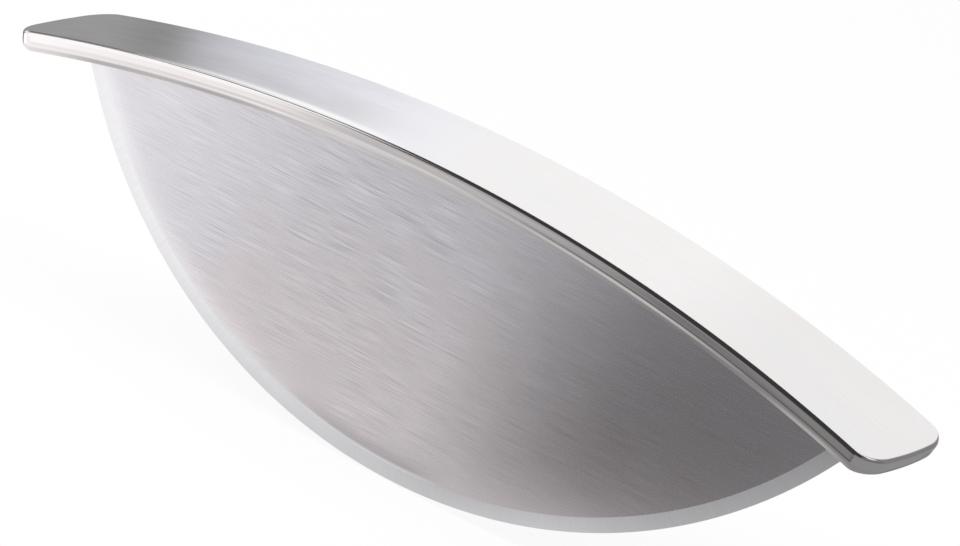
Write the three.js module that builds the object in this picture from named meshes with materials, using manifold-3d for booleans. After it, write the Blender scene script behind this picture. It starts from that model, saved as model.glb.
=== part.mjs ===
// Mezzaluna: an arched flat-bar handle with a half-moon blade let into its underside and welded there.
// Millimetres. +X runs along the handle, +Y across it, +Z up. The origin is the lowest point of the edge.
import * as THREE from 'three';
import { mergeVertices } from 'three/addons/utils/BufferGeometryUtils.js';
import Module from 'manifold-3d';

// Handle, a flat bar bent to an arc
const barWidth = 37.5;
const barThickness = 4.8;
const barBend = 400; // radius of the top face
const barOverhang = 9.8; // bar beyond each tip of the blade, along the underside
const cornerAlong = 4.5; // end corners in plan, quarter ellipses
const cornerAcross = 9;
const endCrown = 1.2; // each end bows out by this much, measured over the full width
const topEdgeRound = 1;
const lowerEdgeRound = 2.5;

// Blade, a sheet with a round edge
const bladeLength = 205; // tip to tip at the underside of the bar
const bladeThickness = 2;
const bevelWidth = 3.5; // ground band along the edge, on both sides
const edgeLand = 0.3; // flat left at the very edge
const overallHeight = 76; // from the edge to the crown of the bar

// Joint: the spine of the blade sits in a groove under the bar, between two welded fillets
const grooveDepth = 2;
const seatClearance = 0.3;
const seamLeg = 1.6;
const seamSetback = 6; // each seam stops this far from the tips

// Facets
const barSteps = 56;
const cornerSteps = 8;
const endSteps = 3;
const roundSteps = 4;
const edgeSteps = 120;
const faceRows = 3;
const discSegments = 360;
const arcSegments = 72;
const seamSteps = 48;
const seamCurveSteps = 4;

// Every arc of the bar shares one centre below it, on the Z axis
const archCentre = overallHeight - barBend;
const undersideRadius = barBend - barThickness;
const grooveRadius = undersideRadius + grooveDepth;
const spineRadius = grooveRadius - seatClearance;
const tipAngle = Math.asin(bladeLength / 2 / undersideRadius);
const barHalfAngle = tipAngle + barOverhang / undersideRadius;

// The edge is the circle through the origin and the two tips
const tipHeight = archCentre + undersideRadius * Math.cos(tipAngle);
const edgeRadius = ((bladeLength / 2) ** 2 + tipHeight ** 2) / (2 * tipHeight);

const wasm = await Module();
wasm.setup();

// Shares the vertices of a closed surface and drops triangles that have shrunk to a line
function closeSurface(geometry) {
  const bare = geometry.clone();
  bare.deleteAttribute('normal');
  bare.deleteAttribute('uv');
  const closed = mergeVertices(bare);
  const triangles = [];
  for (let i = 0; i < closed.index.count; i += 3) {
    const [a, b, c] = [0, 1, 2].map((k) => closed.index.getX(i + k));
    if (a !== b && b !== c && c !== a) triangles.push(a, b, c);
  }
  closed.setIndex(triangles);
  return closed;
}

function toSolid(geometry) {
  const closed = closeSurface(geometry);
  return new wasm.Manifold(new wasm.Mesh({
    numProp: 3,
    vertProperties: new Float32Array(closed.attributes.position.array),
    triVerts: new Uint32Array(closed.index.array),
  }));
}

function toGeometry(solid) {
  const mesh = solid.getMesh();
  const geometry = new THREE.BufferGeometry();
  geometry.setAttribute('position', new THREE.BufferAttribute(mesh.vertProperties, 3));
  geometry.setIndex(new THREE.BufferAttribute(mesh.triVerts, 1));
  geometry.computeVertexNormals();
  return geometry;
}

// Bends the flat bar: s along the top face, y across, h up from the top face
function bend(s, y, h) {
  const angle = s / barBend;
  const radius = barBend + h;
  return new THREE.Vector3(radius * Math.sin(angle), y, archCentre + radius * Math.cos(angle));
}

// Half widths of the flat bar from its left end to its right end, drawn in all round by the inset.
// Both ends are drawn straight across, then pulled back towards the sides by the crown.
function barStations(inset) {
  const along = barBend * barHalfAngle - inset;
  const across = barWidth / 2 - inset;
  const cornerLength = cornerAlong - inset;
  const cornerWidth = cornerAcross - inset;
  const straight = along - cornerLength;
  const rightCorner = [];
  for (let i = 0; i <= cornerSteps; i += 1) {
    const turn = (Math.PI / 2) * (i / cornerSteps);
    rightCorner.push({
      s: straight + cornerLength * Math.sin(turn),
      half: across - cornerWidth + cornerWidth * Math.cos(turn),
    });
  }
  for (let i = endSteps - 1; i >= 0; i -= 1) {
    rightCorner.push({ s: along, half: (across - cornerWidth) * (i / endSteps) });
  }
  const leftCorner = rightCorner.map(({ s, half }) => ({ s: -s, half })).reverse();
  const middle = [];
  for (let i = 1; i < barSteps; i += 1) {
    middle.push({ s: straight * (2 * (i / barSteps) - 1), half: across });
  }
  const pullBack = ({ s, half }) => ({
    s: s * (1 - (endCrown / (barBend * barHalfAngle)) * (half / (barWidth / 2)) ** 2),
    half,
  });
  return [...leftCorner, ...middle, ...rightCorner].map(pullBack);
}

// One closed ring round the bar: out along the near edge and back along the far edge
function barRing(inset, height) {
  const stations = barStations(inset);
  const near = stations.map(({ s, half }) => bend(s, -half, height));
  const far = stations.map(({ s, half }) => bend(s, half, height)).reverse();
  return [...near, ...far];
}

// Triangles of the walls between closed rings of equally many points
function stripIndex(ringCount, count) {
  const index = [];
  for (let k = 0; k + 1 < ringCount; k += 1) {
    for (let j = 0; j < count; j += 1) {
      const next = (j + 1) % count;
      const [a, b] = [k * count + j, k * count + next];
      const [c, d] = [b + count, a + count];
      index.push(a, b, c, a, c, d);
    }
  }
  return index;
}

// The bar before it is grooved, lofted from its underside up through the two edge roundings
function bentBar() {
  const rings = [];
  for (let i = 0; i <= roundSteps; i += 1) {
    const turn = (Math.PI / 2) * (i / roundSteps);
    rings.push(barRing(
      lowerEdgeRound * (1 - Math.sin(turn)),
      lowerEdgeRound * (1 - Math.cos(turn)) - barThickness,
    ));
  }
  for (let i = 0; i <= roundSteps; i += 1) {
    const turn = (Math.PI / 2) * (i / roundSteps);
    rings.push(barRing(topEdgeRound * (1 - Math.cos(turn)), topEdgeRound * (Math.sin(turn) - 1)));
  }
  const count = rings[0].length;
  const index = stripIndex(rings.length, count);
  const top = (rings.length - 1) * count;
  for (let i = 0; i + 1 < count / 2; i += 1) {
    const [near, nearNext] = [i, i + 1];
    const [far, farNext] = [count - 1 - i, count - 2 - i];
    index.push(near, farNext, nearNext, near, far, farNext);
    index.push(top + near, top + nearNext, top + farNext, top + near, top + farNext, top + far);
  }
  const geometry = new THREE.BufferGeometry().setFromPoints(rings.flat());
  geometry.setIndex(index);
  return toSolid(geometry);
}

// A plain round sheet standing on the origin and reaching past the edge of the blade by the allowance
function roundSheet(thickness, allowance) {
  const radius = edgeRadius + allowance;
  const profile = [
    new THREE.Vector2(0, -thickness / 2),
    new THREE.Vector2(radius, -thickness / 2),
    new THREE.Vector2(radius, thickness / 2),
    new THREE.Vector2(0, thickness / 2),
  ];
  const disc = new THREE.LatheGeometry(profile, discSegments);
  disc.translate(0, 0, edgeRadius);
  return toSolid(disc);
}

// Everything under an arc that runs parallel to the bar, wider than the bar and lower than the edge
function belowArc(radius) {
  const reach = radius * Math.sin(barHalfAngle);
  const outline = new THREE.Shape();
  outline.moveTo(-reach, -barThickness);
  outline.lineTo(reach, -barThickness);
  outline.absarc(0, archCentre, radius, Math.PI / 2 - barHalfAngle, Math.PI / 2 + barHalfAngle, false);
  outline.closePath();
  const block = new THREE.ExtrudeGeometry(outline, {
    depth: barWidth,
    bevelEnabled: false,
    curveSegments: arcSegments,
  });
  block.rotateX(Math.PI / 2);
  block.translate(0, barWidth / 2, 0);
  return toSolid(block);
}

// The bar with the groove that takes the spine, a clearance wider and longer than the blade
function handleBar() {
  const slot = roundSheet(bladeThickness + 2 * seatClearance, seatClearance);
  return toGeometry(bentBar().subtract(slot.intersect(belowArc(grooveRadius))));
}

// How far the spine lies from the centre of the edge, along a ray turned away from straight down
function spineDistance(turn) {
  const centres = edgeRadius - archCentre;
  return centres * Math.cos(turn) - Math.sqrt(spineRadius ** 2 - (centres * Math.sin(turn)) ** 2);
}

// Half the thickness of the blade at a distance from the centre of the edge
function bladeHalf(distance) {
  const ground = Math.max(distance - (edgeRadius - bevelWidth), 0) / bevelWidth;
  return THREE.MathUtils.lerp(bladeThickness / 2, edgeLand / 2, ground);
}

// One cut through the blade along a ray: down the near face to the edge and up the far face
function bladeCut(turn) {
  const spine = spineDistance(turn);
  const shoulder = Math.max(spine, edgeRadius - bevelWidth);
  const distances = [];
  for (let i = 0; i <= faceRows; i += 1) {
    distances.push(THREE.MathUtils.lerp(spine, shoulder, i / faceRows));
  }
  distances.push(edgeRadius);
  const at = (distance, side) => new THREE.Vector3(
    distance * Math.sin(turn),
    side * bladeHalf(distance),
    edgeRadius - distance * Math.cos(turn),
  );
  const near = distances.map((distance) => at(distance, -1));
  const far = distances.map((distance) => at(distance, 1)).reverse();
  return [...near, ...far];
}

// The blade, lofted from tip to tip over rays that fan out from the centre of its edge
function halfMoonBlade() {
  const centres = edgeRadius - archCentre;
  const tipTurn = Math.acos((edgeRadius ** 2 + centres ** 2 - spineRadius ** 2) / (2 * centres * edgeRadius));
  const cuts = [];
  for (let i = 0; i <= edgeSteps; i += 1) {
    cuts.push(bladeCut(tipTurn * (2 * (i / edgeSteps) - 1)));
  }
  const geometry = new THREE.BufferGeometry().setFromPoints(cuts.flat());
  geometry.setIndex(stripIndex(cuts.length, cuts[0].length));
  return closeSurface(geometry);
}

// The line along the underside of the bar that both seams follow
class UndersideLine extends THREE.Curve {
  getPoint(t, target = new THREE.Vector3()) {
    const angle = (2 * t - 1) * (tipAngle - seamSetback / undersideRadius);
    const height = archCentre + undersideRadius * Math.cos(angle);
    return target.set(undersideRadius * Math.sin(angle), 0, height);
  }
}

// A hollow fillet between the face of the blade and the underside of the bar, side -1 near and +1 far.
// In the swept section, x runs towards the near side and y runs down.
function weldSeam(side) {
  const root = new THREE.Vector2(bladeThickness / 2 + seatClearance, seatClearance);
  const section = new THREE.Shape();
  section.moveTo(root.x, root.y);
  section.lineTo(root.x + seamLeg, root.y);
  section.absarc(root.x + seamLeg, root.y + seamLeg, seamLeg, -Math.PI / 2, -Math.PI, true);
  section.closePath();
  const facing = section.getPoints(seamCurveSteps).map(({ x, y }) => new THREE.Vector2(-side * x, y));
  return new THREE.ExtrudeGeometry(new THREE.Shape(facing), {
    steps: seamSteps,
    bevelEnabled: false,
    extrudePath: new UndersideLine(),
  });
}

const polishedSteel = new THREE.MeshStandardMaterial({ color: 0xe5e4e2, roughness: 0.12, metalness: 1 });
const brushedSteel = new THREE.MeshStandardMaterial({ color: 0xd6d3d6, roughness: 0.36, metalness: 1 });
const weldedSteel = new THREE.MeshStandardMaterial({ color: 0xb4b2af, roughness: 0.5, metalness: 1 });

function piece(name, geometry, material) {
  const mesh = new THREE.Mesh(geometry, material.clone());
  mesh.name = name;
  return mesh;
}

const mezzaluna = new THREE.Group();
mezzaluna.name = 'mezzaluna';
mezzaluna.add(
  piece('handle_bar', handleBar(), polishedSteel),
  piece('blade', halfMoonBlade(), brushedSteel),
  piece('front_weld_seam', weldSeam(-1), weldedSteel),
  piece('rear_weld_seam', weldSeam(1), weldedSteel),
);

export default mezzaluna;
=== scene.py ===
import math

import bmesh
import bpy
import numpy as np
from mathutils import Matrix, Vector


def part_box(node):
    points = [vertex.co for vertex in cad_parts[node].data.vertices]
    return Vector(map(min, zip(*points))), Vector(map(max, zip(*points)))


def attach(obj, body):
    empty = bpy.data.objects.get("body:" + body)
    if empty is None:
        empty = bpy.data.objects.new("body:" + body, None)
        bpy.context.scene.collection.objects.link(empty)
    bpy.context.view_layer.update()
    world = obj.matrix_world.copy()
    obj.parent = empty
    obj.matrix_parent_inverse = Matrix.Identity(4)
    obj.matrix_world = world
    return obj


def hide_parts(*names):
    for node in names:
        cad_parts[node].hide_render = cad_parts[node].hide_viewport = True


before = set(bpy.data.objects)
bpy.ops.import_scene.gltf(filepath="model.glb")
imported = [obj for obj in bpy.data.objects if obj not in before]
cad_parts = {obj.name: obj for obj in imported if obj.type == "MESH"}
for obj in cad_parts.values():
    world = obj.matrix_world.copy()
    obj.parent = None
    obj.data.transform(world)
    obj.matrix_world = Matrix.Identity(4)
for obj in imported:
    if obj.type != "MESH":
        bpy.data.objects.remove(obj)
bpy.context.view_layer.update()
scene = bpy.context.scene
scene.view_settings.view_transform = "Standard"
print("frame loaded:", ", ".join(sorted(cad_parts)))


# Node helpers, used by the shape trees and by the materials

def put(tree, kind, values=None, **settings):
    node = tree.nodes.new(kind)
    for name, setting in settings.items():
        setattr(node, name, setting)
    for key, value in (values or {}).items():
        socket = node.inputs[key]
        if isinstance(value, bpy.types.NodeSocket):
            tree.links.new(value, socket)
        else:
            socket.default_value = value
    return node


def calc(tree, operation, *values):
    return put(tree, "ShaderNodeMath", dict(enumerate(values)), operation=operation).outputs[0]


def times(tree, first, *others):
    for other in others:
        first = calc(tree, "MULTIPLY", first, other)
    return first


def minus(tree, first, second):
    return calc(tree, "SUBTRACT", first, second)


def clamped(tree, value):
    return put(tree, "ShaderNodeClamp", {"Value": value}).outputs[0]


def span(tree, value, low, high, smooth=False):  # 0 at low, 1 at high, held outside
    ease = "SMOOTHSTEP" if smooth else "LINEAR"
    values = {"Value": value, "From Min": low, "From Max": high}
    return put(tree, "ShaderNodeMapRange", values, interpolation_type=ease).outputs[0]


def between(tree, value, start, end):  # rises over the start span, falls over the end span
    return minus(tree, span(tree, value, *start, smooth=True), span(tree, value, *end, smooth=True))


def ramp(tree, value, stops):  # grey levels at places along a value
    low, high = stops[0][0], stops[-1][0]
    node = put(tree, "ShaderNodeValToRGB", {"Fac": span(tree, value, low, high)})
    elements = node.color_ramp.elements  # the first and the last stop are there from the start
    for place, _ in stops[1:-1]:
        elements.new((place - low) / (high - low))
    for element, (_, level) in zip(elements, stops):
        element.color = grey(level)
    return node.outputs["Color"]


def mixed(tree, factor, first, second, blend="MIX"):
    node = put(tree, "ShaderNodeMix", data_type="RGBA", blend_type=blend)
    for index, value in ((0, factor), (6, first), (7, second)):
        if isinstance(value, bpy.types.NodeSocket):
            tree.links.new(value, node.inputs[index])
        else:
            node.inputs[index].default_value = value
    return node.outputs[2]


def multiplied(tree, first, second):  # two colours
    return mixed(tree, 1.0, first, second, "MULTIPLY")


def opaque(colour):
    return (*colour, 1)


def grey(level):
    return opaque((level,) * 3)


def placed(tree, x, y, z):
    return put(tree, "ShaderNodeCombineXYZ", {0: x, 1: y, 2: z}).outputs[0]


def objectPlace(tree):
    return put(tree, "ShaderNodeSeparateXYZ", {0: put(tree, "ShaderNodeTexCoord").outputs["Object"]}).outputs


# Camera, at the viewing angle of the photograph

cameraView = {
    "azimuth": 25.40,  # degrees to the right of square on
    "elevation": 18.15,
    "roll": -18.58,  # the camera leans left, so the handle falls to the right
    "distance": 1.45,
    "aim": (-0.00401, 0.02009, 0.04469),
    "lens": 250.0,
    "sensor": 36.0,
}


def addCamera(view):
    azimuth, elevation, roll = (math.radians(view[name]) for name in ("azimuth", "elevation", "roll"))
    back = Vector((
        math.sin(azimuth) * math.cos(elevation),
        -math.cos(azimuth) * math.cos(elevation),
        math.sin(elevation),
    ))
    level = Vector((0, 0, 1)).cross(back).normalized()
    upright = back.cross(level)
    right = level * math.cos(roll) - upright * math.sin(roll)
    up = upright * math.cos(roll) + level * math.sin(roll)
    data = bpy.data.cameras.new("photoCamera")
    data.lens = view["lens"]
    data.sensor_fit = "HORIZONTAL"
    data.sensor_width = view["sensor"]
    camera = bpy.data.objects.new("photoCamera", data)
    scene.collection.objects.link(camera)
    camera.matrix_world = (
        Matrix.Translation(Vector(view["aim"]) + back * view["distance"])
        @ Matrix((right, up, back)).transposed().to_4x4()
    )
    scene.camera = camera


addCamera(cameraView)
print("camera set")


# The two arcs that everything follows, from the frame and three sizes

handleLow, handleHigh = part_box("handle_bar")
bladeLow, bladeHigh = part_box("blade")

arch = {
    "bendRadius": 0.400,  # top face of the handle
    "barThickness": 0.0048,
    "bladeLength": 0.205,  # tip to tip at the underside
}
archCentre = handleHigh.z - arch["bendRadius"]
undersideRadius = arch["bendRadius"] - arch["barThickness"]
tipAngle = math.asin(arch["bladeLength"] / 2 / undersideRadius)
tipHeight = archCentre + undersideRadius * math.cos(tipAngle)
edgeRadius = ((arch["bladeLength"] / 2) ** 2 + tipHeight ** 2) / (2 * tipHeight)
spineRadius = bladeHigh.z - archCentre
centreDistance = edgeRadius - archCentre
bladeThickness = bladeHigh.y - bladeLow.y


# Studio: a white floor, soft lamps, and cards that only the steel sees

studio = {
    "floorLevel": -0.0006,
    "floorSize": 6.0,
    "floorGrey": 0.93,
    "shadowShare": 0.09,  # how much of the floor's white is real light, which the object can shade
    "skyLight": 0.45,
    "lamps": {  # place, size, watts
        "keyLamp": ((-0.7, -0.8, 1.3), 0.9, 16.0),
        "fillLamp": ((0.8, -0.3, 1.5), 1.1, 10.0),
    },
    "aimHeight": 0.04,
}
white = grey(1)


def glowing(tree, colour):
    return put(tree, "ShaderNodeEmission", {"Color": colour, "Strength": 1.0}).outputs[0]


def seenRays(tree):  # camera, glossy and transmission rays
    path = put(tree, "ShaderNodeLightPath").outputs
    seen = calc(tree, "MAXIMUM", path["Is Camera Ray"], path["Is Glossy Ray"])
    return calc(tree, "MAXIMUM", seen, path["Is Transmission Ray"])


def sheet(name, rows, material):  # a net of faces over rows of points
    count = len(rows[0])
    starts = [i for i in range(count * (len(rows) - 1)) if (i + 1) % count]
    faces = [(i, i + 1, i + 1 + count, i + count) for i in starts]
    mesh = bpy.data.meshes.new(name)
    mesh.from_pydata([point for row in rows for point in row], [], faces)
    mesh.materials.append(material)
    made = bpy.data.objects.new(name, mesh)
    scene.collection.objects.link(made)
    return made


def bareMaterial(name):
    material = bpy.data.materials.new(name)
    material.use_nodes = True
    material.node_tree.nodes.clear()
    return material, material.node_tree


def addWorld(setup):
    world = bpy.data.worlds.new("whiteRoom")
    world.use_nodes = True
    tree = world.node_tree
    tree.nodes.clear()
    soft = put(tree, "ShaderNodeBackground", {"Color": white, "Strength": setup["skyLight"]})
    bare = put(tree, "ShaderNodeBackground", {"Color": white, "Strength": 1.0})
    both = put(tree, "ShaderNodeMixShader", {0: seenRays(tree), 1: soft.outputs[0], 2: bare.outputs[0]})
    put(tree, "ShaderNodeOutputWorld", {"Surface": both.outputs[0]})
    scene.world = world


def addFloor(setup):
    material, tree = bareMaterial("paleFloor")
    matte = put(tree, "ShaderNodeBsdfDiffuse", {"Color": grey(setup["floorGrey"])})
    share = times(tree, seenRays(tree), 1.0 - setup["shadowShare"])
    both = put(tree, "ShaderNodeMixShader", {0: share, 1: matte.outputs[0], 2: glowing(tree, white)})
    put(tree, "ShaderNodeOutputMaterial", {"Surface": both.outputs[0]})
    half, level = setup["floorSize"] / 2, setup["floorLevel"]
    sheet("paleFloor", [[(x, y, level) for x in (-half, half)] for y in (-half, half)], material)


def addLamp(name, place, size, watts, aimHeight):
    data = bpy.data.lights.new(name, "AREA")
    data.size = size
    data.energy = watts
    lamp = bpy.data.objects.new(name, data)
    scene.collection.objects.link(lamp)
    toward = Vector((0, 0, aimHeight)) - Vector(place)
    turned = toward.to_track_quat("-Z", "Y").to_matrix().to_4x4()
    lamp.matrix_world = Matrix.Translation(place) @ turned
    lamp.visible_glossy = False  # the steel sees the cards instead


# Levels run along X, or along the slanted line on which the near side of the object sees the floor
cards = {
    "backCard": {
        "y": 0.60, "left": -1.3, "right": 1.3, "top": 0.62, "bottom": 0.0,
        "levels": ((-0.515, 0.35), (-0.4935, 0.37), (-0.4760, 0.27), (-0.4670, 0.30), (-0.4556, 0.53),
                   (-0.4366, 0.69), (-0.4176, 0.755), (-0.3986, 0.84), (-0.3796, 0.865), (-0.3606, 0.92),
                   (-0.3416, 1.00), (-0.3226, 1.05), (-0.29, 1.07), (-0.15, 1.09), (-0.085, 1.02),
                   (0.05, 1.03), (0.12, 0.30), (0.30, 0.25)),
        # A bright patch, seen by the rolled-off near edge of the handle
        "brightAbove": ((-0.48, 0.20), (-0.43, 0.232), (-0.39, 0.253), (-0.35, 0.262), (-0.28, 0.27)),
        "brightSoft": 0.014, "brightFrom": (-0.515, -0.49), "brightUntil": (-0.325, -0.36),
        "cool": (0.972, 0.984, 1.06), "coolFrom": (-0.475, -0.455), "coolUntil": (-0.36, -0.28),
    },
    "frontFlag": {
        "y": -0.42, "left": -1.0, "right": 0.26, "top": 0.62, "bottom": 0.0,
        "edge": (-0.277, -0.167), "lean": 0.26,  # its soft left edge leans outwards going up
        "paleHeight": ((-0.13, 0.24), (-0.06, 0.11)), "paleSoft": 0.04,
        "pale": ((-0.28, 0.52), (-0.2, 0.44), (-0.1, 0.35), (-0.044, 0.25), (0.034, 0.16), (0.2, 0.16)),
    },
    "topFlag": {
        "z": 0.62, "left": -1.0, "right": 0.75, "front": -0.5, "back": 0.28, "edge": (-0.394, -0.282),
        "stripeFrom": (-0.27, -0.20), "stripeUntil": (0.02, 0.09), "stripeLevel": 0.2,
    },
    "cornerFlag": {  # for the right near corner of the handle
        "y": -0.05, "left": 0.112, "right": 0.19, "top": 0.14, "bottom": 0.05,
        "levels": ((0.05, 0.31), (0.066, 0.26), (0.085, 0.045)),
    },
    "leftFlag": {  # high behind the left end
        "z": 0.615, "left": -1.0, "right": -0.595, "front": 0.09, "back": 0.60, "level": 0.15,
    },
    "rightFlag": {"x": 0.75, "front": -0.42, "back": 0.60, "top": 0.62, "bottom": 0.0, "level": 0.20},
    "underCard": {  # just below the handle, for its lower edge to reflect: a painted reflection, darker where it stands in for the shade under the handle; front and back count from the near side
        "front": -0.0037, "back": 0.0088, "gap": 0.001, "reach": 0.114, "steps": 24,
        "split": (-0.0011, -0.0003),
        "outer": ((-0.108, 1.20), (-0.081, 1.07), (-0.045, 1.10), (-0.036, 0.94), (-0.018, 0.79),
                  (-0.009, 0.68), (0.018, 0.66), (0.036, 0.72), (0.054, 0.68), (0.063, 0.56), (0.072, 0.42),
                  (0.081, 0.30), (0.108, 0.30)),
        "inner": ((-0.108, 1.00), (-0.099, 0.82), (-0.090, 0.58), (-0.072, 0.61), (-0.063, 0.53),
                  (-0.054, 0.56), (-0.045, 0.66), (-0.036, 0.73), (-0.027, 0.76), (-0.018, 0.67),
                  (-0.009, 0.63), (0.009, 0.56), (0.027, 0.44), (0.045, 0.335), (0.063, 0.24), (0.081, 0.31),
                  (0.090, 0.49), (0.099, 0.53), (0.108, 0.31)),
        "tint": (1.015, 0.995, 0.99),
    },
    "floorCard": {
        "z": -0.0003, "left": -0.9, "right": 0.9, "front": -0.9, "back": 0.9, "slant": 0.48,
        "sideBeyond": (0.203, 0.213), "sideSpread": 3.1, "sideTint": (1.032, 0.985, 1.0),
        "bevelWithin": (0.006, 0.044), "bevelSpread": 5.0, "bevelReach": 0.115,
        "endBeyond": (0.10, 0.125), "endLevel": 0.31,  # seen by the right end of the handle and its corner
        # Dark behind the left end of the handle, which draws its outline
        "outlineBehind": (0.02, 0.06), "outlineLeft": (-0.13, -0.16), "outlineLevel": 0.22,
        "side": ((-0.115, 1.26), (-0.09, 1.12), (-0.045, 1.02), (-0.030, 0.70), (-0.018, 0.58), (0.005, 0.56),
                 (0.019, 0.555), (0.028, 0.51), (0.037, 0.49), (0.046, 0.445), (0.055, 0.40), (0.064, 0.33),
                 (0.073, 0.25), (0.082, 0.235), (0.10, 0.24), (0.11, 0.26)),
        "face": ((-0.10, 1.06), (-0.075, 0.94), (-0.045, 0.785), (-0.030, 0.775), (0.002, 0.79),
                 (0.018, 0.535), (0.034, 0.29), (0.05, 0.157), (0.10, 0.125)),
        "bevel": ((-0.154, 1.28), (-0.10, 1.25), (-0.06, 1.06), (-0.02, 0.88), (0.012, 0.74), (0.030, 0.755),
                  (0.046, 0.775), (0.064, 0.62), (0.10, 0.53), (0.126, 0.54)),
    },
    "darkLevel": 0.045, "brightLevel": 1.2,
}


def cardFor(name, rows, build):
    material, tree = bareMaterial(name)
    put(tree, "ShaderNodeOutputMaterial", {"Surface": glowing(tree, build(tree, objectPlace(tree)))})
    card = sheet(name, rows, material)
    for ray in ("camera", "diffuse", "shadow", "transmission"):
        setattr(card, "visible_" + ray, False)


def flatRows(card):  # square to the axis that has one number
    def ends(axis, first, second):
        return [card[axis]] if axis in card else [card[first], card[second]]

    across, deep, high = ends("x", "left", "right"), ends("y", "front", "back"), ends("z", "bottom", "top")
    if "z" in card:
        return [[(x, y, card["z"]) for x in across] for y in deep]
    return [[(x, y, z) for x in across for y in deep] for z in high]


def underRows(card):  # bent along the underside of the handle
    radius = undersideRadius - card["gap"]
    turns = np.linspace(-card["reach"], card["reach"], card["steps"] + 1) / radius
    return [[(radius * math.sin(a), handleLow.y + y, archCentre + radius * math.cos(a)) for a in turns]
            for y in (card["front"], card["back"])]


def addCards(setup):
    back, front, under = setup["backCard"], setup["frontFlag"], setup["underCard"]
    top, low = setup["topFlag"], setup["floorCard"]
    dark, bright = grey(setup["darkLevel"]), grey(setup["brightLevel"])

    def backLook(tree, place):
        coolness = between(tree, place["X"], back["coolFrom"], back["coolUntil"])
        tint = mixed(tree, coolness, white, opaque(back["cool"]))
        level = multiplied(tree, ramp(tree, place["X"], back["levels"]), tint)
        above = minus(tree, place["Z"], ramp(tree, place["X"], back["brightAbove"]))
        high = span(tree, above, -back["brightSoft"], back["brightSoft"], smooth=True)
        ends = (span(tree, place["X"], *back[name]) for name in ("brightUntil", "brightFrom"))
        return mixed(tree, times(tree, high, *ends), level, bright)

    def frontLook(tree, place):
        leaning = calc(tree, "MULTIPLY_ADD", place["Z"], front["lean"], place["X"])
        above = minus(tree, place["Z"], ramp(tree, place["X"], front["paleHeight"]))
        high = span(tree, above, -front["paleSoft"], front["paleSoft"], smooth=True)
        level = mixed(tree, high, ramp(tree, place["X"], front["pale"]), dark)
        return mixed(tree, span(tree, leaning, *front["edge"], smooth=True), bright, level)

    def topLook(tree, place):
        onStripe = between(tree, place["Y"], top["stripeFrom"], top["stripeUntil"])
        striped = mixed(tree, onStripe, bright, grey(top["stripeLevel"]))
        return mixed(tree, span(tree, place["X"], *top["edge"], smooth=True), striped, dark)

    def cornerLook(tree, place):
        return ramp(tree, place["Z"], setup["cornerFlag"]["levels"])

    def underLook(tree, place):
        inwards = span(tree, minus(tree, place["Y"], handleLow.y), *under["split"], smooth=True)
        outer, inner = (ramp(tree, place["X"], under[name]) for name in ("outer", "inner"))
        return multiplied(tree, mixed(tree, inwards, outer, inner), opaque(under["tint"]))

    def floorLook(tree, place):
        slanted = calc(tree, "MULTIPLY_ADD", place["Y"], -low["slant"], place["X"])
        away = calc(tree, "ABSOLUTE", place["Y"])
        within = calc(tree, "MINIMUM", calc(tree, "ABSOLUTE", slanted), low["bevelReach"])
        bend = calc(tree, "POWER", within, 2.0)
        toBevel = calc(tree, "MULTIPLY_ADD", bend, -low["bevelSpread"], away)
        toSide = calc(tree, "MULTIPLY_ADD", bend, low["sideSpread"], away)
        pastBevel = span(tree, toBevel, *low["bevelWithin"], smooth=True)
        pastFace = span(tree, toSide, *low["sideBeyond"], smooth=True)
        bevel, face, side = (ramp(tree, slanted, low[name]) for name in ("bevel", "face", "side"))
        side = multiplied(tree, side, opaque(low["sideTint"]))
        level = mixed(tree, pastFace, mixed(tree, pastBevel, bevel, face), side)
        pastEnd = span(tree, place["X"], *low["endBeyond"], smooth=True)
        level = mixed(tree, pastEnd, level, grey(low["endLevel"]))
        behind = span(tree, place["Y"], *low["outlineBehind"], smooth=True)
        outline = times(tree, behind, span(tree, place["X"], *low["outlineLeft"]))
        return mixed(tree, outline, level, grey(low["outlineLevel"]))

    def leftLook(tree, place):
        return grey(setup["leftFlag"]["level"])

    def rightLook(tree, place):
        return grey(setup["rightFlag"]["level"])

    for name, look in (("backCard", backLook), ("frontFlag", frontLook), ("topFlag", topLook),
                       ("floorCard", floorLook), ("cornerFlag", cornerLook), ("leftFlag", leftLook),
                       ("rightFlag", rightLook)):
        cardFor(name, flatRows(setup[name]), look)
    cardFor("underCard", underRows(under), underLook)


addWorld(studio)
addFloor(studio)
for lampName, (lampPlace, lampSize, lampWatts) in studio["lamps"].items():
    addLamp(lampName, lampPlace, lampSize, lampWatts, studio["aimHeight"])
addCards(cards)
print("studio lit")


# Steel finishes. Every piece carries a map in metres, U across the grain and V along it

grainMap = "grainMap"
barDepth = "barDepth"  # metres below the top face of the handle

grainMix = {
    "broadWidth": 2.6, "broadLength": 2.0, "broadShare": 0.25,  # broader strokes among the fine ones
    "patchStretch": 1.8, "patchDetail": 2.0,
}


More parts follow.
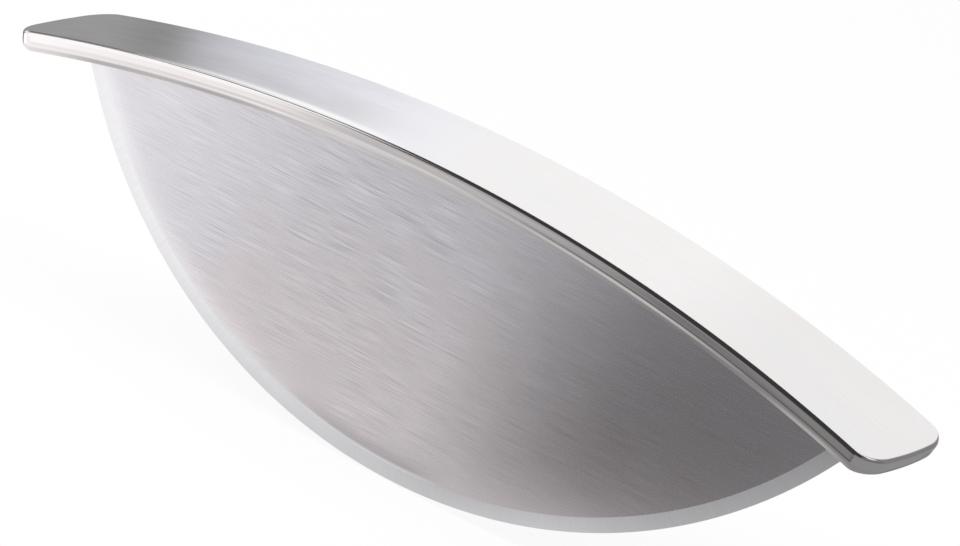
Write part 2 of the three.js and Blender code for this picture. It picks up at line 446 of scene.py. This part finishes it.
def brushedGrain(mix):
    group = bpy.data.node_groups.new("brushedGrain", "ShaderNodeTree")
    sockets = group.interface
    sockets.new_socket("Map", in_out="INPUT", socket_type="NodeSocketVector")
    for name in ("Line Width", "Line Length", "Patch Size"):
        sockets.new_socket(name, in_out="INPUT", socket_type="NodeSocketFloat")
    for name in ("Lines", "Patches"):
        sockets.new_socket(name, in_out="OUTPUT", socket_type="NodeSocketFloat")
    given = put(group, "NodeGroupInput").outputs
    place = put(group, "ShaderNodeSeparateXYZ", {0: given["Map"]}).outputs

    def noise(across, along, detail=1.0):
        u, v = calc(group, "DIVIDE", place["X"], across), calc(group, "DIVIDE", place["Y"], along)
        values = {"Vector": placed(group, u, v, 0.0), "Scale": 1.0, "Detail": detail, "Roughness": 0.5}
        return put(group, "ShaderNodeTexNoise", values, noise_dimensions="2D").outputs[0]

    width, length, patch = given["Line Width"], given["Line Length"], given["Patch Size"]
    fine = times(group, noise(width, length), 1.0 - mix["broadShare"])
    broad = noise(times(group, width, mix["broadWidth"]), times(group, length, mix["broadLength"]))
    lines = calc(group, "MULTIPLY_ADD", broad, mix["broadShare"], fine)
    patches = noise(patch, times(group, patch, mix["patchStretch"]), mix["patchDetail"])
    put(group, "NodeGroupOutput", {"Lines": lines, "Patches": patches})
    return group


grain = brushedGrain(grainMix)


def grainOf(tree, look, names=("lineWidth", "lineLength", "patchSize")):
    values = dict(zip(("Line Width", "Line Length", "Patch Size"), (look[name] for name in names)))
    values["Map"] = put(tree, "ShaderNodeUVMap", uv_map=grainMap).outputs[0]
    made = put(tree, "ShaderNodeGroup", values, node_tree=grain).outputs
    return made["Lines"], made["Patches"]


def around(tree, value, centre, swing):  # a 0 to 1 pattern turned into centre plus or minus half the swing
    return calc(tree, "MULTIPLY_ADD", value, swing, centre - swing / 2)


def shaded(tree, colour, shade):  # a colour times a grey factor
    return multiplied(tree, colour, placed(tree, shade, shade, shade))


def roughnessOf(tree, look, lines):
    return around(tree, lines, look["roughness"], look["roughSwing"])


def steel(material, look, colour, roughness, lines):
    tree = material.node_tree
    bump = put(tree, "ShaderNodeBump", {
        "Height": lines, "Strength": look["lineStrength"], "Distance": look["lineDepth"],
    })
    across = put(tree, "ShaderNodeTangent", direction_type="UV_MAP", uv_map=grainMap)
    shader = put(tree, "ShaderNodeBsdfPrincipled", {
        "Base Color": colour,
        "Metallic": 1.0,
        "Roughness": roughness,
        "Anisotropic": look["anisotropy"],
        "Normal": bump.outputs[0],
        "Tangent": across.outputs[0],
    })
    put(tree, "ShaderNodeOutputMaterial", {"Surface": shader.outputs[0]})
    return material


polish = {
    "colour": (0.808, 0.784, 0.777), "cool": (0.794, 0.781, 0.785), "coolPatches": (0.35, 0.7),
    "satinAndShade": (0.745, 0.722, 0.718), "satinDepth": (0.0022, 0.0032),  # the lower edge is only ground, and its darker colour is painted shade under the handle
    "roughness": 0.11, "roughSwing": 0.06, "satinRoughness": 0.22, "anisotropy": 0.45,
    "lineWidth": 0.00022, "lineLength": 0.011, "patchSize": 0.016,
    "lineStrength": 0.25, "lineDepth": 0.000002,
    "lineShade": 0.10,
    "streakWidth": 0.0003, "streakLength": 0.040, "streakPatch": 0.008,
    "sideStreaks": 0.75, "endStreaks": 0.26, "cloudShade": 0.22, "plainShare": 0.15,
    "sideDepth": (0.0008, 0.0013), "clearAlong": (-0.055, -0.005),  # clouded on the left, clear on the right
    "sideFades": (-0.12, 0.04), "sideUntil": (0.085, 0.104),  # the lines on the sides start and end softly
    "paintedShadeFrom": (-0.082, -0.060), "paintedShadeUntil": (-0.034, -0.010),  # painted shade on the near half of the top, on the left
    "paintedShadeNear": (0.008, -0.010), "clearStrip": (-0.0140, -0.0165), "paintedShadeShare": 0.16,
}


def polishedSteel(look):
    material, tree = bareMaterial("polishedSteel")
    place = objectPlace(tree)
    depth = put(tree, "ShaderNodeAttribute", attribute_name=barDepth).outputs["Fac"]
    lines, patches = grainOf(tree, look)
    streaks, clouds = grainOf(tree, look, ("streakWidth", "streakLength", "streakPatch"))
    satinAndShade = span(tree, depth, *look["satinDepth"], smooth=True)
    coolness = span(tree, patches, *look["coolPatches"], smooth=True)
    tinted = mixed(tree, coolness, opaque(look["colour"]), opaque(look["cool"]))
    # the lower edge: a satin finish, with a darker colour that is painted shade
    tinted = mixed(tree, satinAndShade, tinted, opaque(look["satinAndShade"]))
    onTop = calc(tree, "LESS_THAN", depth, look["sideDepth"][0])
    clouded = times(tree, minus(tree, 1.0, span(tree, place["X"], *look["clearAlong"], smooth=True)), onTop)
    onSide = minus(tree, span(tree, depth, *look["sideDepth"], smooth=True), satinAndShade)
    sideways = times(tree, onSide, between(tree, place["X"], look["sideFades"], look["sideUntil"]))
    swing = times(tree, sideways, look["sideStreaks"])
    swing = calc(tree, "MULTIPLY_ADD", clouded, look["endStreaks"], swing)
    shade = around(tree, lines, 1.0, look["lineShade"])
    shade = calc(tree, "MULTIPLY_ADD", minus(tree, streaks, 0.5), swing, shade)
    cloudSwing = times(tree, calc(tree, "MAXIMUM", clouded, look["plainShare"]), look["cloudShade"])
    shade = calc(tree, "MULTIPLY_ADD", minus(tree, clouds, 0.5), cloudSwing, shade)
    # Painted shade: the near half of the top is darker on the left, stopping short of the strip by the near
    # edge
    wearAndShade = between(tree, place["X"], look["paintedShadeFrom"], look["paintedShadeUntil"])
    nearness = between(tree, place["Y"], look["paintedShadeNear"], look["clearStrip"])
    wearAndShade = times(tree, wearAndShade, nearness, look["paintedShadeShare"])
    colour = shaded(tree, tinted, times(tree, shade, minus(tree, 1.0, wearAndShade)))
    rougher = look["satinRoughness"] - look["roughness"]
    roughness = calc(tree, "MULTIPLY_ADD", satinAndShade, rougher, roughnessOf(tree, look, lines))
    return steel(material, look, colour, roughness, lines)


brush = {
    "warm": (0.7035, 0.653, 0.6735), "cool": (0.673, 0.659, 0.698),
    "coolHeight": (0.024, 0.060), "coolLeft": -0.03, "coolLean": 0.5, "drift": 0.05,
    "roughness": 0.27, "roughSwing": 0.10, "anisotropy": 0.72,
    "lineWidth": 0.00023, "lineLength": 0.0105, "patchSize": 0.010,
    "lineStrength": 0.45, "lineDepth": 0.000006,
    "patchSpan": (0.1, 0.6), "plainWithin": (-0.004, 0.014),  # where the brushing is strong or faint
    "softLeft": (-0.08, -0.015), "softShare": 0.55,
    "lineShade": 0.95, "faintShade": 0.07, "faintAlong": (-0.02, 0.065),  # the brushing fades to the right
    "patchShade": 0.05,
    # Twice these, by distance from the cutting edge: a painted highlight above the bevel to the left, and a
    # painted dark line above it in the middle
    "leftEdgeHighlight": ((0.0035, 0.50), (0.0042, 0.525), (0.0048, 0.565), (0.0056, 0.545), (0.0065, 0.525),
                 (0.008, 0.507), (0.011, 0.50)),
    "middleEdgeShade": ((0.0035, 0.50), (0.0040, 0.50), (0.0043, 0.365), (0.0052, 0.395), (0.006, 0.42),
                   (0.007, 0.465), (0.010, 0.50)),
    "leftUntil": (-0.045, -0.025), "middleFrom": (-0.032, -0.014), "middleUntil": (0.003, 0.016),
    # A painted highlight in a strip just past the shoulder, where the grinding also runs on a little
    "groundAndHighlightStrip": (0.765, 0.757, 0.775), "stripWithin": (0.0038, 0.0048), "stripUntil": (0.002, 0.016),
}


def fromCentre(tree, place, height):  # distance from a point on the middle line, in the plane of the blade
    below = minus(tree, place["Z"], height)
    squares = calc(tree, "ADD", calc(tree, "POWER", place["X"], 2.0), calc(tree, "POWER", below, 2.0))
    return calc(tree, "SQRT", squares)


def brushedSteel(look, edge):
    material, tree = bareMaterial("brushedSteel")
    place = objectPlace(tree)
    lines, patches = grainOf(tree, look)
    inward = minus(tree, edge, fromCentre(tree, place, edge))
    leftwards = calc(tree, "MAXIMUM", minus(tree, look["coolLeft"], place["X"]), 0.0)
    rise = calc(tree, "ADD", place["Z"], around(tree, patches, 0.0, look["drift"]))
    rise = calc(tree, "MULTIPLY_ADD", leftwards, look["coolLean"], rise)
    coolness = span(tree, rise, *look["coolHeight"], smooth=True)
    tinted = mixed(tree, coolness, opaque(look["warm"]), opaque(look["cool"]))
    # painted highlight, with the ground finish, in a strip above the shoulder on the left and middle
    outside = calc(tree, "MAXIMUM", span(tree, inward, *look["stripWithin"], smooth=True),
                   span(tree, place["X"], *look["stripUntil"], smooth=True))
    tinted = mixed(tree, outside, opaque(look["groundAndHighlightStrip"]), tinted)
    fade = span(tree, place["X"], *look["faintAlong"], smooth=True)
    swing = calc(tree, "MULTIPLY_ADD", fade, look["faintShade"] - look["lineShade"], look["lineShade"])
    soft = span(tree, place["X"], *look["softLeft"], smooth=True)
    soft = calc(tree, "MULTIPLY_ADD", soft, 1.0 - look["softShare"], look["softShare"])
    plain = span(tree, inward, *look["plainWithin"], smooth=True)
    swing = times(tree, swing, span(tree, patches, *look["patchSpan"]), soft, plain)
    streaks = calc(tree, "MULTIPLY_ADD", minus(tree, lines, 0.5), swing, 1.0)
    shade = times(tree, streaks, around(tree, patches, 1.0, look["patchShade"]), 2.0)
    left = minus(tree, 1.0, span(tree, place["X"], *look["leftUntil"], smooth=True))
    middle = between(tree, place["X"], look["middleFrom"], look["middleUntil"])
    # painted highlight above the bevel on the left, and a painted dark line above it in the middle
    blend = mixed(tree, left, grey(0.5), ramp(tree, inward, look["leftEdgeHighlight"]))
    blend = mixed(tree, middle, blend, ramp(tree, inward, look["middleEdgeShade"]))
    colour = multiplied(tree, shaded(tree, tinted, shade), blend)
    return steel(material, look, colour, roughnessOf(tree, look, lines), lines)


grind = {
    "colour": (0.708, 0.698, 0.716), "wearAndShade": (0.675, 0.663, 0.681),
    "dullLines": (0.35, 0.65), "dullPatches": (0.25, 0.75),
    "roughness": 0.34, "roughSwing": 0.08, "anisotropy": 0.55,
    "lineWidth": 0.0005, "lineLength": 0.006, "patchSize": 0.009,
    "lineStrength": 0.2, "lineDepth": 0.000004,
    "depth": 0.0035,
    # Painted light and shade across the bevel: the shade at the very edge less that at the shoulder, plus a
    # half, along the blade
    "edgeShade": ((-0.09, 0.48), (-0.065, 0.41), (-0.035, 0.41), (-0.012, 0.48), (0.02, 0.62), (0.08, 0.58)),
}


def groundSteel(look, edge):
    material, tree = bareMaterial("groundSteel")
    place = objectPlace(tree)
    lines, patches = grainOf(tree, look)
    worn = times(tree, span(tree, lines, *look["dullLines"]), span(tree, patches, *look["dullPatches"]))
    tinted = mixed(tree, worn, opaque(look["colour"]), opaque(look["wearAndShade"]))
    inward = span(tree, minus(tree, edge, fromCentre(tree, place, edge)), 0.0, look["depth"])
    # painted light and shade across the bevel, changing along the blade
    swing = minus(tree, ramp(tree, place["X"], look["edgeShade"]), 0.5)
    shade = calc(tree, "MULTIPLY_ADD", minus(tree, 0.5, inward), swing, 1.0)
    return steel(material, look, shaded(tree, tinted, shade), roughnessOf(tree, look, lines), lines)


weld = {
    "colour": (0.50, 0.49, 0.48), "straw": (0.55, 0.47, 0.36), "strawPatches": (0.45, 0.8),
    "roughness": 0.42, "roughSwing": 0.16, "anisotropy": 0.2,
    "lineWidth": 0.0004, "lineLength": 0.0009, "patchSize": 0.006,
    "lineStrength": 0.5, "lineDepth": 0.00002,
}


def weldSteel(look):
    material, tree = bareMaterial("weldSteel")
    lines, patches = grainOf(tree, look)
    warmth = span(tree, patches, *look["strawPatches"], smooth=True)
    colour = mixed(tree, warmth, opaque(look["colour"]), opaque(look["straw"]))
    return steel(material, look, colour, roughnessOf(tree, look, lines), lines)


handleSteel = polishedSteel(polish)
bladeSteel = brushedSteel(brush, edgeRadius)
bevelSteel = groundSteel(grind, edgeRadius)
seamSteel = weldSteel(weld)
print("steel finishes made")


# Shape trees: geometry in, sizes by name, material set at the end

netGap, pointGap = 1e-6, 1e-7  # metres; closer points are merged, in a net and in a finished mesh


def openTree(name, sizes, counts=(), materials=("Material",)):
    tree = bpy.data.node_groups.new(name, "GeometryNodeTree")
    sockets = tree.interface
    sockets.new_socket("Geometry", in_out="INPUT", socket_type="NodeSocketGeometry")
    for kind, names in (("Float", sizes), ("Int", counts), ("Material", materials)):
        for label in names:
            sockets.new_socket(label, in_out="INPUT", socket_type="NodeSocket" + kind)
    sockets.new_socket("Geometry", in_out="OUTPUT", socket_type="NodeSocketGeometry")
    return tree, put(tree, "NodeGroupInput").outputs


def closeTree(tree, geometry, materials):  # materials are (socket, selection)
    made = put(tree, "GeometryNodeRealizeInstances", {0: geometry}).outputs[0]
    for material, selection in materials:
        made = put(tree, "GeometryNodeSetMaterial",
                   {"Geometry": made, "Selection": selection, "Material": material}).outputs[0]
    put(tree, "NodeGroupOutput", {0: made})


def ownPlace(tree):
    return put(tree, "ShaderNodeSeparateXYZ", {0: put(tree, "GeometryNodeInputPosition").outputs[0]}).outputs


def shapeByNodes(name, tree, values, mesh=None):
    piece = bpy.data.objects.new(name, mesh or bpy.data.meshes.new(name))
    scene.collection.objects.link(piece)
    modifier = piece.modifiers.new(tree.name, "NODES")
    modifier.node_group = tree
    for socket in tree.interface.items_tree:
        if socket.name in values:
            modifier[socket.identifier] = values[socket.name]
    evaluated = piece.evaluated_get(bpy.context.evaluated_depsgraph_get())
    made = bpy.data.meshes.new_from_object(evaluated)
    piece.modifiers.clear()
    piece.data = made
    made.name = name
    return piece


def faceOutwards(mesh):
    shape = bmesh.new()
    shape.from_mesh(mesh)
    bmesh.ops.remove_doubles(shape, verts=shape.verts, dist=pointGap)
    bmesh.ops.dissolve_degenerate(shape, edges=shape.edges, dist=pointGap)
    bmesh.ops.recalc_face_normals(shape, faces=shape.faces)
    shape.to_mesh(mesh)
    shape.free()


def smoothShade(mesh, sharpAngle):
    mesh.shade_smooth()
    mesh.set_sharp_from_angle(angle=math.radians(sharpAngle))


def cornersOf(mesh):  # each face corner's point, with its face's centre and normal
    count = len(mesh.loops)
    vertex, points = np.empty(count, int), np.empty(len(mesh.vertices) * 3)
    mesh.loops.foreach_get("vertex_index", vertex)
    mesh.vertices.foreach_get("co", points)
    sides = np.array([len(face.vertices) for face in mesh.polygons])
    centre = np.array([face.center for face in mesh.polygons])
    normal = np.array([face.normal for face in mesh.polygons])
    return points.reshape(-1, 3)[vertex], np.repeat(centre, sides, 0), np.repeat(normal, sides, 0)


def mapGrain(mesh, across, along):
    layer = mesh.uv_layers.get(grainMap) or mesh.uv_layers.new(name=grainMap)
    layer.uv.foreach_set("vector", np.column_stack([across, along]).astype(np.float32).ravel())


# Handle: a flat bar with rounded edges and corners, grooved underneath, then bent to the arch

handleBar = {
    "width": handleHigh.y - handleLow.y,
    "overhang": 0.0098,  # beyond the blade's tips
    "cornerAlong": 0.0045,
    "cornerAcross": 0.009,
    "endCrown": 0.0012,  # each end bows out, measured over the full width
    "leftTrim": 0.0008, "trimFrom": 0.095,  # the left end is ground a little shorter
    "topRound": 0.001,
    "rollWidth": 0.0045,  # polishing has dropped the top a little along its near edge
    "rollDrop": 0.00011,
    "rollAlong": ((-0.088, 0), (-0.066, 1), (-0.036, 1), (-0.010, 0)),
    "lowerRound": 0.0025,
    "grooveDepth": 0.002,
    "grooveClearance": 0.0003,
    "stations": 168,
    "cornerSteps": 16,
    "roundSteps": 10,
    "support": 0.00012,  # rows that keep the flats flat beside a rounding
    "rowShares": (0.985, 0.965, 0.945, 0.92, 0.895, 0.87, 0.845, 0.82, 0.795, 0.62, 0.4),
    "levelAbove": 0.71,  # a face whose normal rises by more than this has its grain laid from above
    "sharpAngle": 40,
}


def barReach(bar):  # half length of the bar along its top face
    return arch["bendRadius"] * (tipAngle + bar["overhang"] / undersideRadius)


def barOutline(bar, inset):  # places along the bar, with the half width at each
    along = barReach(bar) - inset
    across = bar["width"] / 2 - inset
    cornerLength, cornerWidth = bar["cornerAlong"] - inset, bar["cornerAcross"] - inset
    turn = np.linspace(0, math.pi / 2, bar["cornerSteps"] + 1)
    straight = along - cornerLength
    corner = np.column_stack([straight + cornerLength * np.sin(turn),
                              across - cornerWidth + cornerWidth * np.cos(turn)])
    middle = np.linspace(-straight, straight, bar["stations"] + 1)[1:-1]
    grooveEnd = arch["bendRadius"] * (tipAngle + 2 * bar["grooveClearance"] / undersideRadius)
    grooveEnd += bar["grooveDepth"] / 2
    for side in (-1, 1):
        middle[np.abs(middle - side * grooveEnd).argmin()] = side * grooveEnd
    flat = np.column_stack([middle, np.full(len(middle), across)])
    groove = [int(np.abs(middle - side * grooveEnd).argmin()) + len(corner) for side in (-1, 1)]
    return np.vstack([corner[::-1] * (-1, 1), flat, corner]), groove


def barLayers(bar):  # inset and height of each ring, from the underside to the top
    turn = np.linspace(0, math.pi / 2, bar["roundSteps"] + 1)
    low, top, deep = bar["lowerRound"], bar["topRound"], arch["barThickness"]
    layers = [(low * (1 - math.sin(a)), low * (1 - math.cos(a)) - deep) for a in turn]
    layers += [(0, low - deep + bar["support"]), (0, -top - bar["support"])]
    layers += [(top * (1 - math.cos(a)), top * (math.sin(a) - 1)) for a in turn]
    return layers


def flatBar(bar):
    shape = bmesh.new()
    grooveHalf = bladeThickness / 2 + bar["grooveClearance"]
    grooveTop = bar["grooveDepth"] - arch["barThickness"]

    def rowPlaces(half):
        shares = [-s * half for s in bar["rowShares"]] + [-grooveHalf]
        return shares + [-y for y in reversed(shares)]

    rows = len(rowPlaces(1.0))
    layers, rings = barLayers(bar), []
    for inset, height in layers:
        outline = barOutline(bar, inset)[0]
        ends = rowPlaces(outline[-1][1])
        loop = [(s, -half) for s, half in outline] + [(outline[-1][0], y) for y in ends]
        loop += [(s, half) for s, half in outline[::-1]] + [(outline[0][0], y) for y in reversed(ends)]
        rings.append([shape.verts.new((s, y, height)) for s, y in loop])
    count = len(rings[0])
    for lower, upper in zip(rings, rings[1:]):
        for i in range(count):
            shape.faces.new((lower[i], lower[(i + 1) % count], upper[(i + 1) % count], upper[i]))

    def cap(ring, layer):  # the ring's inside as a net of stations and rows
        outline, groove = barOutline(bar, layer[0])
        last = len(outline) - 1
        net = []
        for i, (s, half) in enumerate(outline):
            near, far = ring[i], ring[2 * last + 1 + rows - i]
            if i == 0:
                inner = ring[count - rows:][::-1]
            elif i == last:
                inner = ring[last + 1:last + 1 + rows]
            else:
                inner = [shape.verts.new((s, y, layer[1])) for y in rowPlaces(half)]
            net.append([near, *inner, far])
        return net, groove

    def fill(net, skip=None):
        for i in range(len(net) - 1):
            for j in range(rows + 1):
                if not (skip and skip[0] <= i < skip[1] and j == rows // 2):
                    shape.faces.new((net[i][j], net[i + 1][j], net[i + 1][j + 1], net[i][j + 1]))

    fill(cap(rings[-1], layers[-1])[0])
    under, (first, last) = cap(rings[0], layers[0])
    fill(under, (first, last))
    near, far = rows // 2, rows // 2 + 1
    roof = [[shape.verts.new((under[i][j].co.x, under[i][j].co.y, grooveTop)) for j in (near, far)]
            for i in range(first, last + 1)]
    for k in range(last - first):
        i = first + k
        shape.faces.new((roof[k][0], roof[k + 1][0], roof[k + 1][1], roof[k][1]))
        shape.faces.new((under[i][near], under[i + 1][near], roof[k + 1][0], roof[k][0]))
        shape.faces.new((under[i][far], under[i + 1][far], roof[k + 1][1], roof[k][1]))
    for i, k in ((first, 0), (last, -1)):
        shape.faces.new((under[i][near], under[i][far], roof[k][1], roof[k][0]))
    pull = bar["endCrown"] / barReach(bar)
    flatHalf = bar["width"] / 2 - bar["rollWidth"]
    for vert in shape.verts:
        if vert.co.z > -bar["topRound"] - 2 * bar["support"]:
            rolled = np.interp(vert.co.x, *zip(*bar["rollAlong"])) * bar["rollDrop"]
            vert.co.z -= rolled * (max(-vert.co.y - flatHalf, 0) / bar["rollWidth"]) ** 2
        vert.co.x *= 1 - pull * (vert.co.y / (bar["width"] / 2)) ** 2
        pastTrim = max(-vert.co.x - bar["trimFrom"], 0) / (barReach(bar) - bar["trimFrom"])
        vert.co.x += bar["leftTrim"] * pastTrim
    bmesh.ops.recalc_face_normals(shape, faces=shape.faces)
    mesh = bpy.data.meshes.new("flatBar")
    shape.to_mesh(mesh)
    shape.free()
    return mesh


def bendTree():
    tree, given = openTree("bendToArch", ("Bend Radius", "Arch Centre"))
    place = ownPlace(tree)
    angle = calc(tree, "DIVIDE", place["X"], given["Bend Radius"])
    radius = calc(tree, "ADD", given["Bend Radius"], place["Z"])
    bent = placed(
        tree,
        times(tree, radius, calc(tree, "SINE", angle)),
        place["Y"],
        calc(tree, "MULTIPLY_ADD", radius, calc(tree, "COSINE", angle), given["Arch Centre"]),
    )
    moved = put(tree, "GeometryNodeSetPosition", {"Geometry": given["Geometry"], "Position": bent}).outputs[0]
    closeTree(tree, moved, [(given["Material"], True)])
    return tree


def makeHandle(bar):
    flat = flatBar(bar)
    points, _, normal = cornersOf(flat)
    level = np.abs(normal[:, 2]) > bar["levelAbove"]
    end = ~level & (np.abs(normal[:, 0]) > np.abs(normal[:, 1]))
    across = np.where(level, points[:, 1], points[:, 2])
    along = np.where(end, points[:, 1], points[:, 0])
    mapGrain(flat, across, along)
    depth = flat.attributes.new(barDepth, "FLOAT", "POINT")
    depth.data.foreach_set("value", [-vertex.co.z for vertex in flat.vertices])
    values = {"Bend Radius": arch["bendRadius"], "Arch Centre": archCentre, "Material": handleSteel}
    piece = shapeByNodes("handleBar", bendTree(), values, flat)
    smoothShade(piece.data, bar["sharpAngle"])
    return piece


# Blade: a net over rays that fan out from the centre of the edge, down the near face and up the far one

halfMoon = {
    "bevelWidth": 0.0035,
    "edgeLand": 0.0003,
    "rays": 361,
    "faceRows": 24,
    "bevelRows": 4,
    "sharpAngle": 8,
}


def netOf(tree, given, rowCount):  # a flat net: U from -1 to 1 along it, and the number of each row
    net = put(tree, "GeometryNodeMeshGrid", {"Size X": 2.0, "Size Y": 1.0, "Vertices X": given["Steps"],
                                             "Vertices Y": calc(tree, "ADD", rowCount, 1.0)}).outputs[0]
    place = ownPlace(tree)
    row = times(tree, calc(tree, "ADD", place["Y"], 0.5), rowCount)
    return net, place["X"], calc(tree, "MODULO", calc(tree, "ROUND", row), rowCount)


def closedNet(tree, net, position):
    moved = put(tree, "GeometryNodeSetPosition", {"Geometry": net, "Position": position}).outputs[0]
    return put(tree, "GeometryNodeMergeByDistance", {"Geometry": moved, "Distance": netGap}).outputs[0]


def bladeTree():
    sizes = ("Edge Radius", "Spine Radius", "Centre Distance", "Tip Turn", "Thickness", "Bevel Width",
             "Edge Land")
    tree, given = openTree("halfMoon", sizes, ("Steps", "Face Rows", "Bevel Rows"),
                           ("Face Material", "Bevel Material"))
    edge, centres = given["Edge Radius"], given["Centre Distance"]
    depth = calc(tree, "ADD", given["Face Rows"], given["Bevel Rows"])
    turnRow = calc(tree, "MULTIPLY_ADD", depth, 2.0, 1.0)  # the row number of the far spine
    net, along, row = netOf(tree, given, calc(tree, "ADD", turnRow, 1.0))
    near = calc(tree, "LESS_THAN", row, calc(tree, "ADD", depth, 0.5))
    step = calc(tree, "MINIMUM", row, minus(tree, turnRow, row))
    turn = times(tree, along, given["Tip Turn"])
    sine, cosine = calc(tree, "SINE", turn), calc(tree, "COSINE", turn)
    reach = calc(tree, "POWER", times(tree, centres, sine), 2.0)
    root = calc(tree, "SQRT", minus(tree, calc(tree, "POWER", given["Spine Radius"], 2.0), reach))
    spine = minus(tree, times(tree, centres, cosine), root)
    bevelStart = minus(tree, edge, given["Bevel Width"])
    shoulder = calc(tree, "MAXIMUM", spine, bevelStart)
    faceShare = clamped(tree, calc(tree, "DIVIDE", step, given["Face Rows"]))
    bevelStep = minus(tree, step, given["Face Rows"])
    bevelShare = clamped(tree, calc(tree, "DIVIDE", bevelStep, given["Bevel Rows"]))
    onFace = calc(tree, "MULTIPLY_ADD", minus(tree, shoulder, spine), faceShare, spine)
    distance = calc(tree, "MULTIPLY_ADD", minus(tree, edge, shoulder), bevelShare, onFace)
    past = minus(tree, distance, bevelStart)
    ground = clamped(tree, calc(tree, "DIVIDE", past, given["Bevel Width"]))
    fall = minus(tree, given["Thickness"], given["Edge Land"])
    thick = minus(tree, given["Thickness"], times(tree, fall, ground))
    side = minus(tree, 0.5, near)  # half of -1 on the near face, half of +1 on the far one
    position = placed(
        tree,
        times(tree, distance, sine),
        times(tree, side, thick),
        minus(tree, edge, times(tree, distance, cosine)),
    )
    blade = closedNet(tree, net, position)
    onBevel = calc(tree, "GREATER_THAN", fromCentre(tree, ownPlace(tree), edge), bevelStart)
    closeTree(tree, blade, [(given["Face Material"], True), (given["Bevel Material"], onBevel)])
    return tree


def makeBlade(moon):
    tipTurn = math.acos((edgeRadius ** 2 + centreDistance ** 2 - spineRadius ** 2)
                        / (2 * centreDistance * edgeRadius))
    values = {
        "Edge Radius": edgeRadius, "Spine Radius": spineRadius, "Centre Distance": centreDistance,
        "Tip Turn": tipTurn, "Thickness": bladeThickness, "Bevel Width": moon["bevelWidth"],
        "Edge Land": moon["edgeLand"], "Steps": moon["rays"], "Face Rows": moon["faceRows"],
        "Bevel Rows": moon["bevelRows"], "Face Material": bladeSteel, "Bevel Material": bevelSteel,
    }
    piece = shapeByNodes("halfMoonBlade", bladeTree(), values)
    faceOutwards(piece.data)
    points, centre, _ = cornersOf(piece.data)
    onBevel = np.hypot(centre[:, 0], centre[:, 2] - edgeRadius) > edgeRadius - moon["bevelWidth"]
    turn = np.arctan2(points[:, 0], edgeRadius - points[:, 2])
    radial = np.hypot(points[:, 0], points[:, 2] - edgeRadius)
    across = np.where(onBevel, turn * edgeRadius, points[:, 2])
    mapGrain(piece.data, across, np.where(onBevel, radial, points[:, 0]))
    smoothShade(piece.data, moon["sharpAngle"])
    return piece


# Weld seams: a hollow fillet that follows the underside of the bar and runs out at both ends

weldSeam = {
    "leg": 0.0016,
    "hollow": 0.2,  # share of the leg that the bead dips
    "rootGap": 0.00003,
    "setback": 0.006,  # short of the blade's tips
    "runOut": 0.02,  # share of the half length over which the bead tapers off
    "ripplePitch": 0.0014,
    "rippleDepth": 0.06,
    "steps": 1201,
    "beadRows": 8,
    "sharpAngle": 50,
}


def seamTree():
    sizes = ("Underside Radius", "Arch Centre", "Half Angle", "Leg", "Hollow", "Root Offset", "Root Gap",
             "Run Out", "Ripples", "Ripple Depth", "Side")
    tree, given = openTree("weldBead", sizes, ("Steps", "Bead Rows"))
    net, along, row = netOf(tree, given, calc(tree, "ADD", given["Bead Rows"], 2.0))
    share = clamped(tree, calc(tree, "DIVIDE", row, given["Bead Rows"]))
    onBead = calc(tree, "LESS_THAN", row, calc(tree, "ADD", given["Bead Rows"], 0.5))
    toEnd = clamped(tree, calc(tree, "DIVIDE", minus(tree, 1.0, calc(tree, "ABSOLUTE", along)),
                               given["Run Out"]))
    taper = calc(tree, "SQRT", times(tree, toEnd, minus(tree, 2.0, toEnd)))
    wave = calc(tree, "SINE", times(tree, along, given["Ripples"]))
    swell = calc(tree, "MULTIPLY_ADD", wave, given["Ripple Depth"], 1.0)
    leg = times(tree, given["Leg"], taper, swell)
    dip = times(tree, calc(tree, "SINE", times(tree, share, math.pi)), given["Hollow"])
    out, down = minus(tree, minus(tree, 1.0, share), dip), minus(tree, share, dip)
    out, down = (times(tree, part, leg, onBead) for part in (out, down))
    angle = times(tree, along, given["Half Angle"])
    radius = minus(tree, minus(tree, given["Underside Radius"], given["Root Gap"]), down)
    position = placed(
        tree,
        times(tree, radius, calc(tree, "SINE", angle)),
        times(tree, calc(tree, "ADD", given["Root Offset"], out), given["Side"]),
        calc(tree, "MULTIPLY_ADD", radius, calc(tree, "COSINE", angle), given["Arch Centre"]),
    )
    closeTree(tree, closedNet(tree, net, position), [(given["Material"], True)])
    return tree


def makeSeam(name, tree, seam, side):
    halfAngle = tipAngle - seam["setback"] / undersideRadius
    values = {
        "Underside Radius": undersideRadius, "Arch Centre": archCentre, "Half Angle": halfAngle,
        "Leg": seam["leg"], "Hollow": seam["hollow"], "Root Offset": bladeThickness / 2 + seam["rootGap"],
        "Root Gap": seam["rootGap"], "Run Out": seam["runOut"],
        "Ripples": 2 * math.pi * halfAngle * undersideRadius / seam["ripplePitch"],
        "Ripple Depth": seam["rippleDepth"], "Side": float(side), "Steps": seam["steps"],
        "Bead Rows": seam["beadRows"], "Material": seamSteel,
    }
    piece = shapeByNodes(name, tree, values)
    faceOutwards(piece.data)
    points = cornersOf(piece.data)[0]
    mapGrain(piece.data, points[:, 2] + points[:, 1] * side, points[:, 0])
    smoothShade(piece.data, seam["sharpAngle"])
    return piece


handlePiece = makeHandle(handleBar)
bladePiece = makeBlade(halfMoon)
beadTree = seamTree()
frontSeam = makeSeam("frontWeldSeam", beadTree, weldSeam, -1)
rearSeam = makeSeam("rearWeldSeam", beadTree, weldSeam, 1)
print("pieces made")

for piece, node, slotName in (
    (handlePiece, "handle_bar", "polished_steel"),
    (bladePiece, "blade", "brushed_steel"),
    (frontSeam, "front_weld_seam", "weld_metal"),
    (rearSeam, "rear_weld_seam", "weld_metal"),
):
    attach(piece, "root")
    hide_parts(node)
    print(piece.name, "stands for", node, "with", len(piece.data.polygons), "faces")
